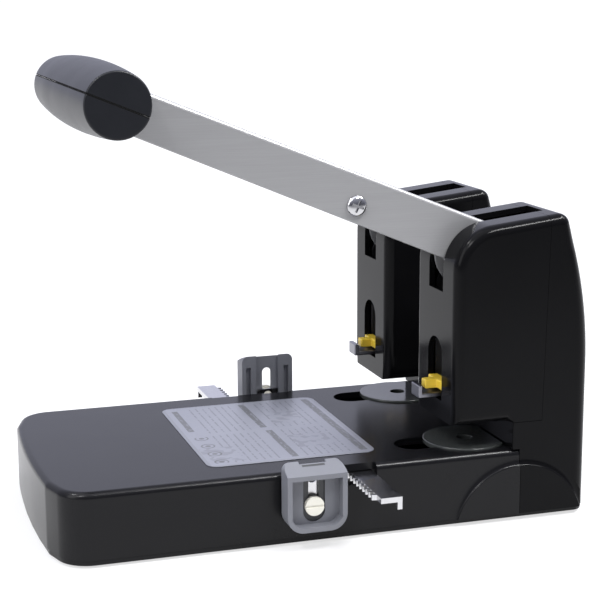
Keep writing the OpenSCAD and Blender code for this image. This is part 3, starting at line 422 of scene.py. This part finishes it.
tower = {
    "front": 53.5, "rear": 115.5, "column": 80.3, "seam": 83.5, "side": 40.0, "half": 22.0, "wall": 2.5,
    "low": -8.0, "foot": 3.2, "table": 31.2, "under": 43.0, "underEnd": 78.0, "frontZ": (60.0, 50.0),
    "straight": 30.0, "curve": 182.0, "curveZ": 66.0, "curveShort": 3,  # the bowed back
    "rearTop": 5.0, "rearTopZ": 125.318,
    "nose": 19.0, "noseX": 72.5, "noseZ": 108.01, "topSlope": 96.6,  # the round front of the top
    "topEdge": 4.5, "underEdge": 5.5, "rearEdge": 6.0, "columnEdge": (1.0, 0.8), "thinEdge": 0.6,
    "split": 93.5, "splitLean": 2.0 / 86.8, "gap": 0.06,  # the slanted seam between head and rear cover
    "underGap": 0.2, "lap": 0.3, "seamGap": 0.02,
    "slotHalf": 7.5, "slotLow": 98.0, "slotEnd": 98.5, "punch": 67.7, "pinHole": 7.2, "pinHoleZ": (40, 47),
    "windowHalf": 7.5, "windowTop": 70.1, "windowLow": 51.0, "windowX": (50, 57),
    "openFrom": 60, "openTo": 111.1, "openHalf": 3.2, "archEnd": 112.5,  # inner wall, open below the table
}
# reach of the cutters past a tower
past = {"front": 40, "rear": 130, "side": 30, "wide": 40, "low": -20, "deep": -30, "high": 160}


def towerOutline():  # side view, anticlockwise, with the radius of the rounding at each corner
    high, low, back = tower["topEdge"], tower["underEdge"], tower["rearEdge"]
    front, under = tower["front"], tower["under"]
    curveX, reach = tower["rear"] - tower["curve"], tower["curve"] - tower["rearTop"]
    turn = math.degrees(math.asin((tower["rearTopZ"] - tower["curveZ"]) / reach))
    topX = curveX + reach * math.cos(math.radians(turn))
    slope = tower["topSlope"]
    spots = [((tower["column"], tower["low"]), tower["columnEdge"][0])]
    spots += [((tower["rear"], tower[k]), back) for k in ("low", "straight")]
    bowEnd = turn - tower["curveShort"]
    spots += [(p, back) for p in arc(curveX, tower["curveZ"], tower["curve"], 0, bowEnd, steps=16)]
    spots += [(p, high) for p in arc(topX, tower["rearTopZ"], tower["rearTop"], turn, slope, steps=10)]
    spots += [(p, high) for p in arc(tower["noseX"], tower["noseZ"], tower["nose"], slope, 180, steps=30)]
    spots += [((front, z), high) for z in tower["frontZ"]]
    spots += [((front, under), low), ((tower["underEnd"], under), low)]
    return spots + [((tower["column"], under), tower["columnEdge"][1])]


def towerBlock(name, shrink):
    spots = towerOutline()
    points = insetLoop([p for p, _ in spots], [shrink] * len(spots))
    radii = [max(tower["thinEdge"], r - shrink) for _, r in spots]
    return loft(name, slab(list(zip(points, radii)), tower["half"] - shrink, steps=7))


def behindSplit(gap, low):  # everything behind the slanted seam, down to the height given
    high = past["high"]
    splitX = [tower["split"] + gap + (z - tower["under"]) * tower["splitLean"] for z in (low, high)]
    outline = [(splitX[0], low), (high, low), (high, high), (splitX[1], high)]
    return loft("cutSplit", [[(x, y, z) for x, z in outline] for y in (-past["wide"], past["wide"])])


def towerSlice(x0, x1, z1, half=past["side"]):  # everything between two x, from below the tower up to z1
    return block(x0, x1, -half, half, past["low"], z1)


def buildTowers():
    shell = towerBlock("towerShell", 0.0)
    half, slot, inside = tower["windowHalf"], tower["slotHalf"], tower["openFrom"]
    window = arc(0, tower["windowTop"], half, 0, 180, steps=24)
    window += [(-half, tower["windowLow"]), (half, tower["windowLow"])]
    carve(shell, [towerBlock("towerInside", tower["wall"]),
                  block(past["front"], tower["slotEnd"], -slot, slot, tower["slotLow"], past["high"]),
                  loft("cutWindow", [[(x, y, z) for y, z in window] for x in tower["windowX"]]),
                  drum(tower["punch"], 0, tower["pinHole"], *tower["pinHoleZ"]),
                  towerSlice(inside, tower["seam"] + tower["seamGap"], tower["table"]),
                  towerSlice(past["front"], past["rear"], tower["foot"])])
    head = clone(shell, "towerHead")
    carve(head, [behindSplit(-tower["gap"], past["deep"]),
                 towerSlice(past["front"], past["rear"], tower["under"])])
    rear = clone(shell, "towerRear")
    rearTop = tower["under"] - tower["underGap"]
    keep = behindSplit(tower["gap"], rearTop - tower["lap"])
    carve(keep, [towerSlice(inside, past["high"], rearTop, past["wide"] + 1)], "UNION")
    carve(rear, [keep], "INTERSECT")
    bpy.data.objects.remove(shell)
    for side, word in bothSides:
        cover = clone(head, word + "TowerHead", side * tower["side"])
        settle(cover, "base", word + "_head_cover", "towerBlack")
        back = clone(rear, word + "TowerRear", side * tower["side"])
        wall, reach = side * (tower["side"] - tower["half"]), tower["openHalf"]
        carve(back, [block(inside, tower["openTo"], wall - reach, wall + reach,
                           past["low"], tower["table"])])
        carve(back, [archHalf(side, tower["seam"], tower["archEnd"])], "UNION")
        settle(back, "base", word + "_rear_cover", "towerBlack")
    bpy.data.objects.remove(head)
    bpy.data.objects.remove(rear)


base = {
    "front": -115.5, "rear": 115.5, "half": 62.0, "low": 3.2, "top": 31.0, "wall": 3.0, "edge": 2.8,
    "corner": 14.0, "bow": 4.0, "bowShare": 0.7,
    "arch": 33.0, "archDrop": 8.5, "archRim": 3.4, "archOut": 1.5, "archSunk": 0.5, "archFrom": 40.0,
    "coveFoot": 0.03, "coveTop": 0.2, "coveSoft": 0.06,  # the hollow rim of the arch
    "well": 18.2, "wellFloor": 29.4, "wellFrom": 20, "wellEnd": 80.1,
    "pinHole": 9.2, "notchX": 43.7, "notch": 8.0, "towerFrom": 83.3, "towerIn": 17.8,
    "cut": (20, 34), "past": 70.0, "wide": 80, "high": 60, "deep": -5.0,  # reach of the cutters
    "guideIn": 58.6, "guideFrom": 6.0, "guideTo": 19.4, "guideLow": 23.0,  # gaps for the racks
}


def hullLoop(points):  # the convex outline of a set of points, anticlockwise
    points = sorted(set(points))

    def chain(run):
        line = []
        for p in run:
            while len(line) > 1 and ((line[-1][0] - line[-2][0]) * (p[1] - line[-2][1])
                                     - (line[-1][1] - line[-2][1]) * (p[0] - line[-2][0])) <= 1e-9:
                line.pop()
            line.append(p)
        return line[:-1]
    return chain(points) + chain(points[::-1])


def baseOutline():
    half, corner, bow = base["half"], base["corner"], base["bow"]
    bowRadius = (half ** 2 + bow ** 2) / (2 * bow)
    across = [half * base["bowShare"] * k / 16 for k in range(-16, 17)]
    spots = [(base["front"] + bowRadius - math.sqrt(bowRadius ** 2 - y * y), y) for y in across]
    for side in (-1, 1):
        spots += arc(base["front"] + bow + corner, side * (half - corner), corner, 180, 180 - side * 90,
                     steps=20)
        spots.append((base["rear"], side * half))
    return hullLoop([(round(x, 5), round(y, 5)) for x, y in spots])


def archHalf(side, x0, x1):  # raised half disc low on each side, with a hollow rim, cut at the seam
    rim, out, foot, top, soft = (base[k] for k in ("archRim", "archOut", "coveFoot", "coveTop", "coveSoft"))
    sweep = [math.pi / 2 * k / 8 for k in range(9)]
    cove = [(rim * math.sin(t), foot + (out - top) * (1 - math.cos(t))) for t in sweep]
    rings = []
    for shrink, proud in [(0.0, -base["archSunk"])] + cove + [(rim + soft, out - soft), (rim + top, out)]:
        loop = arc(tower["seam"], base["low"] - base["archDrop"], base["arch"] - shrink, 0, 180, steps=90)
        rings.append([(x, side * (base["half"] + proud), z) for x, z in loop])
    arch = loft("archDisc", rings)
    carve(arch, [block(x0, x1, -base["wide"], base["wide"], base["low"], base["high"])], "INTERSECT")
    return arch


def buildBase():
    outline = baseOutline()

    def ring(inset, z):
        return [(x, y, z) for x, y in insetLoop(outline, [inset] * len(outline))]

    edge, low, top, wide, high = (base[k] for k in ("edge", "low", "top", "wide", "high"))
    turns = [math.pi / 2 * k / 7 for k in range(8)]
    rounded = [ring(edge * (1 - math.cos(t)), top - edge * (1 - math.sin(t))) for t in turns]
    cover = loft("baseCover", [ring(0.0, low)] + rounded)
    tools = [loft("cutInside", [ring(base["wall"], z) for z in (base["deep"], top - base["wall"])])]
    punch, notchX, notch = tower["punch"], base["notchX"], base["notch"]
    for side in (-1, 1):
        y = side * tower["side"]
        well = drum(punch, y, base["well"], base["wellFloor"], base["cut"][1])
        carve(well, [block(base["wellFrom"], base["wellEnd"], -wide, wide, 0, high)], "INTERSECT")
        tools += [well, drum(punch, y, base["pinHole"], *base["cut"]), drum(notchX, y, notch, *base["cut"]),
                  block(notchX, punch, y - notch, y + notch, *base["cut"])]
        y0, y1 = sorted((side * base["towerIn"], side * base["past"]))
        tools.append(block(base["towerFrom"], past["rear"], y0, y1, past["low"], high))
        y0, y1 = sorted((side * base["guideIn"], side * base["past"]))
        tools += [block(base["guideFrom"], base["guideTo"], y0, y1, base["guideLow"], high),
                  block(-base["guideTo"], -base["guideFrom"], y0, y1, base["guideLow"], high)]
    carve(cover, tools)
    for side in (-1, 1):
        carve(cover, [archHalf(side, base["archFrom"], base["towerFrom"])], "UNION")
    settle(cover, "base", "base_cover", "blackCover")


leverTilt = math.radians(22.3)  # the raised lever at rest


def onLine(start, along, y, across):  # a point given along and across the tilted lever
    return (start[0] + along * math.cos(leverTilt) + across * math.sin(leverTilt), y,
            start[1] - along * math.sin(leverTilt) + across * math.cos(leverTilt))


grip = {"centre": (-84.2, 180.15), "half": 64.0, "end": 13.0, "middle": 15.0, "round": 0.9,
        "split": 0.35, "meet": 0.03, "rod": 5.05, "rodHalf": 56.2,
        "slot": (-6.3, 46.0), "slotDeep": 10.5, "slotWide": 6.8,
        "lineHalf": 0.00045, "lineTone": grey(0.001), "lineRough": 0.6}  # half width in metres


def shadeSplit(skin):  # painted shadow in the parting line between the two grip shells, with rougher gloss there
    x, _, z = skin.axes(skin.place)
    x0, z0 = (v / 1000 for v in grip["centre"])
    line = abs((x - x0) * math.sin(leverTilt) + (z - z0) * math.cos(leverTilt)) < grip["lineHalf"]
    skin.surface(Base_Color=skin.blend(line, skin.present("Base Color"), grip["lineTone"]),
                 Roughness=skin.present("Roughness") + line * grip["lineRough"])


def gripHalf(name, up):
    end, soft, split, meet = grip["end"], grip["round"], grip["split"], grip["meet"]
    straight = grip["half"] - soft
    shares = [k / 20 for k in range(-20, 21)]
    crown = [(end + (grip["middle"] - end) * (1 - share ** 2), straight * share) for share in shares]
    turns = [math.radians(15 * k) for k in range(1, 7)]
    tip = [(end - soft * (1 - math.cos(t)), straight + soft * math.sin(t)) for t in turns]
    rings = []
    for r, y in [(r, -y) for r, y in reversed(tip)] + crown + tip:
        start = math.degrees(math.asin(split / r))
        ring = [(r - split, meet)] + arc(0, 0, r, start, 180 - start, steps=36) + [(split - r, meet)]
        rings.append([onLine(grip["centre"], along, y, up * across) for along, across in ring])
    half = loft(name, rings)
    deep, wide = grip["slotDeep"], grip["slotWide"]
    slot = list(zip(grip["slot"] + grip["slot"][::-1], (-deep, -deep, deep, deep)))
    spans = [(disc(0, 0, grip["rod"], steps=36), (-grip["rodHalf"], grip["rodHalf"]))]
    spans += [(slot, (y - wide, y + wide)) for y in (-tower["side"], tower["side"])]
    carve(half, [loft("cutGrip", [[onLine(grip["centre"], a, y, c) for a, c in loop] for y in ends])
                 for loop, ends in spans])
    return half


arm = {"pivot": (72.0, 116.1), "half": 6.5, "inner": 4.5, "hub": 15.5, "hubDrop": 4.1,
       "hubTurn": (204.95, 425.4), "end": -174.8, "tip": 8.75, "middle": -90.0, "middleLow": -9.74,
       "middleHigh": 9.36, "top": 10.0, "topEdge": 1.8, "lowEdge": 0.6, "pivotHole": 4.08,
       "tie": (-59.7, -3.2), "tieHole": 2.45, "rodAt": -168.8, "rodHole": 5.05, "holeHalf": 20,
       "hollow": [(-180.0, 6.71), (-180.0, -40.0), (30.0, -40.0), (30.0, 8.0), (0.0, 8.0)]}


def onArm(name, loops):  # lofts rings of points along, y and across the lever
    return loft(name, [[onLine(arm["pivot"], *point) for point in loop] for loop in loops])


def crossRod(along, across, radius, y):
    rim = disc(along, across, radius, steps=48)
    return onArm("cutRod", [[(a, y + dy, c) for a, c in rim] for dy in (-arm["holeHalf"], arm["holeHalf"])])


def buildArms():  # pressed channel: a long web on top, two cheeks, a round hub at the pivot
    high, low, end, tip, middle = (arm[k] for k in ("topEdge", "lowEdge", "end", "tip", "middle"))
    spots = [((end, -tip), low), ((middle, arm["middleLow"]), low)]
    spots += [(p, low) for p in arc(0, -arm["hubDrop"], arm["hub"], *arm["hubTurn"], steps=60)]
    spots += [((0.0, arm["top"]), high), ((middle, arm["middleHigh"]), high), ((end, tip), high)]
    rings = slab(spots, arm["half"], steps=6)
    for side, word in bothSides:
        y = side * tower["side"]
        piece = onArm(word + "LeverChannel", [[(a, y + dy, c) for a, dy, c in ring] for ring in rings])
        hollow = [[(a, y + dy, c) for a, c in arm["hollow"]] for dy in (-arm["inner"], arm["inner"])]
        carve(piece, [onArm("cutChannel", hollow), crossRod(0, 0, arm["pivotHole"], y),
                      crossRod(*arm["tie"], arm["tieHole"], y),
                      crossRod(arm["rodAt"], 0, arm["rodHole"], y)])
        settle(piece, "lever", word + "_lever_arm", "leverSilver")


# lathe steps of a tie bar screw: radius and distance out from its seat
screw = {"seat": 46.5, "slot": 0.5, "slotReach": 2.6, "slotFloor": 1.5, "slotOut": 6,
         "lathe": [(2.4, -21.0), (2.4, 0.0), (4.3, 0.0), (4.3, 0.6), (4.15, 1.0), (3.7, 1.45), (2.9, 1.9),
                   (1.9, 2.2), (0.9, 2.36), (0.05, 2.4)]}


def buildTieScrews():
    both = []
    along, across = arm["tie"]
    for side in (-1, 1):
        rings = []
        for radius, out in screw["lathe"]:
            y = side * (screw["seat"] + out)
            rings.append([(a, y, c) for a, c in disc(along, across, radius, steps=40)])
        piece = onArm("tieScrew", rings)
        ends = [side * (screw["seat"] + screw[k]) for k in ("slotFloor", "slotOut")]
        for a, c in ((screw["slotReach"], screw["slot"]), (screw["slot"], screw["slotReach"])):
            corners = [(along + i * a, across + j * c) for i, j in ((-1, -1), (1, -1), (1, 1), (-1, 1))]
            carve(piece, [onArm("cutSlot", [[(u, y, v) for u, v in corners] for y in ends])])
        both.append(piece)
    carve(both[0], [both[1]], "UNION")
    both[0].name = "tieBarScrews"
    settle(both[0], "lever", "tie_bar_screws", "screwSteel")


buildArms()
buildTieScrews()
print("lever built")
shadeSplit(finishes["gripSatin"])
settle(gripHalf("gripUpperHalf", 1), "lever", "grip_upper_shell", "gripSatin", smooth=35)
settle(gripHalf("gripLowerHalf", -1), "lever", "grip_lower_shell", "gripSatin", smooth=35)
print("grip built")
buildTowers()
buildBase()
print("covers built")

spring = {"low": 57.5, "high": 89.1, "radius": 5.6, "wire": 0.6, "turns": 7, "perTurn": 32, "sides": 12,
          "seat": 56.9, "keep": 0.62}


def windSpring(name, y):
    total = spring["turns"] * spring["perTurn"]
    section = disc(spring["radius"], 0, spring["wire"], spring["sides"])
    rings = []
    for k in range(total + 1):
        turn = 2 * math.pi * k / spring["perTurn"]
        z = spring["low"] + (spring["high"] - spring["low"]) * k / total
        dx, dy = math.cos(turn), math.sin(turn)
        rings.append([(tower["punch"] + r * dx, y + r * dy, z + dz) for r, dz in section])
    coil = loft(name, rings)
    for face in coil.data.polygons:
        face.use_smooth = True
    return coil


for side, word in bothSides:
    coil = windSpring(word + "SpringCoil", side * tower["side"])
    coil.data.materials.append(finishes["springWire"].material)
    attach(coil, "base")
    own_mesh(coil)
    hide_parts(word + "_return_spring")
print("springs wound")

# the studio is in metres: panels are place, aim, size and watts
studio = {
    "camera": (-0.1927, -0.6275, 0.2244), "yaw": 17.58, "pitch": 11.67, "roll": -0.24,
    "lens": 92.2, "sensor": 36.0, "nearest": 0.01,
    "floorCorners": ((-40, -40, 0), (40, -40, 0), (40, 60, 0), (-40, 60, 0)),
    "floorTones": (grey(0.3), grey(0.34)), "cloudScale": 3.0, "floorRough": 0.8, "cloudRough": 0.1,
    # painted light: the floor glows, more strongly further out
    "floorGlow": (grey(0.66), grey(0.86)), "glowReach": (0.2, 1.6),
    "frontTone": grey(0.22), "frontGlow": grey(0.08), "frontFade": (-0.75, -0.1),  # painted shade: darker, and glowing less, in front
    "skyLevel": 0.1, "skyBack": 0.42, "skyBackFrom": 0.55, "skyTop": 0.5, "skyTint": (0.94, 0.96, 1.16),
    "panels": {
        "overheadPanel": ((-0.3, -0.2, 1.3), (0, 0, 0.05), (1.2, 1.0), 4),
        "edgePanel": ((0.6, -0.42, 1.2), (0.1, -0.05, 0.1), (1.1, 0.09), 21),
        "sparkPanel": ((-0.8, -0.05, 1.25), (0, 0, 0.1), (0.16, 0.16), 4),
        "cornerPanel": ((-0.75, -0.8, 1.2), (0, 0, 0.1), (0.3, 0.3), 6),
        "rightPanel": ((0.95, -0.12, 1.1), (0, 0, 0.12), (0.5, 0.5), 6),
        "leftPanel": ((-1.2, -0.5, 0.7), (0, 0, 0.1), (0.7, 1.0), 6),
    },
}


def setCamera():
    yaw, pitch, roll = (math.radians(studio[k]) for k in ("yaw", "pitch", "roll"))
    ahead = Vector((math.sin(yaw) * math.cos(pitch), math.cos(yaw) * math.cos(pitch), -math.sin(pitch)))
    right = Vector((math.cos(yaw), -math.sin(yaw), 0))
    up = right.cross(ahead)
    turnedRight = math.cos(roll) * right + math.sin(roll) * up
    turnedUp = math.cos(roll) * up - math.sin(roll) * right
    view = bpy.data.objects.new("photoCamera", bpy.data.cameras.new("photoCamera"))
    bpy.context.collection.objects.link(view)
    basis = Matrix((turnedRight, turnedUp, -ahead)).transposed().to_4x4()
    view.matrix_world = Matrix.Translation(Vector(studio["camera"])) @ basis
    view.data.lens = studio["lens"]
    view.data.sensor_width = studio["sensor"]
    view.data.clip_start = studio["nearest"]
    bpy.context.scene.camera = view


def setFloor():
    shape = bmesh.new()
    shape.faces.new([shape.verts.new(corner) for corner in studio["floorCorners"]])
    data = bpy.data.meshes.new("paleFloor")
    shape.to_mesh(data)
    shape.free()
    floor = bpy.data.objects.new("paleFloor", data)
    bpy.context.collection.objects.link(floor)
    paper = Finish("paperFloor")
    cloud = paper.noise(studio["cloudScale"], detail=3.0)
    far = paper.add("ShaderNodeVectorMath", {"operation": "LENGTH"}, {0: paper.place}, "Value")

    def ramp(value, start, end):
        return paper.add("ShaderNodeMapRange", {"interpolation_type": "SMOOTHSTEP"},
                         {"Value": value, "From Min": start, "From Max": end, "To Min": 0.0, "To Max": 1.0})

    # painted shade darkens the front of the floor, and painted light makes the floor glow
    fade = ramp(paper.axes(paper.place)[1], *studio["frontFade"])
    tone = paper.blend(cloud, *studio["floorTones"])
    glow = paper.blend(ramp(far, *studio["glowReach"]), *studio["floorGlow"])
    paper.surface(Base_Color=paper.blend(fade, studio["frontTone"], tone), Specular_IOR_Level=0.0,
                  Roughness=studio["floorRough"] + studio["cloudRough"] * (cloud - 0.5),
                  Emission_Color=paper.blend(fade, studio["frontGlow"], glow), Emission_Strength=1.0)
    floor.data.materials.append(paper.material)


def setSky():
    sky = bpy.data.worlds.new("whiteRoom")
    bpy.context.scene.world = sky
    sky.use_nodes = True
    board = NodeBoard(sky.node_tree)
    _, y, z = board.axes(board.add("ShaderNodeTexCoord", {}, {}, "Generated"))
    back = studio["skyBack"] * (y + studio["skyBackFrom"]).larger(0.0)
    level = studio["skyLevel"] + back + studio["skyTop"] * z.larger(0.0)
    shares = {name: level * share for name, share in zip(("Red", "Green", "Blue"), studio["skyTint"])}
    tint = board.add("ShaderNodeCombineColor", {}, shares)
    plugIn(board.tree, board.tree.nodes["Background"].inputs["Color"], tint)


def setPanels():
    for name, (place, aim, size, watts) in studio["panels"].items():
        lamp = bpy.data.lights.new(name, "AREA")
        lamp.shape = "RECTANGLE"
        lamp.size, lamp.size_y = size
        lamp.energy = watts
        panel = bpy.data.objects.new(name, lamp)
        bpy.context.collection.objects.link(panel)
        panel.location = place
        panel.rotation_euler = (Vector(aim) - Vector(place)).to_track_quat("-Z", "Y").to_euler()


setCamera()
setFloor()
setSky()
setPanels()
bpy.context.scene.view_settings.view_transform = "Standard"
print("studio set")
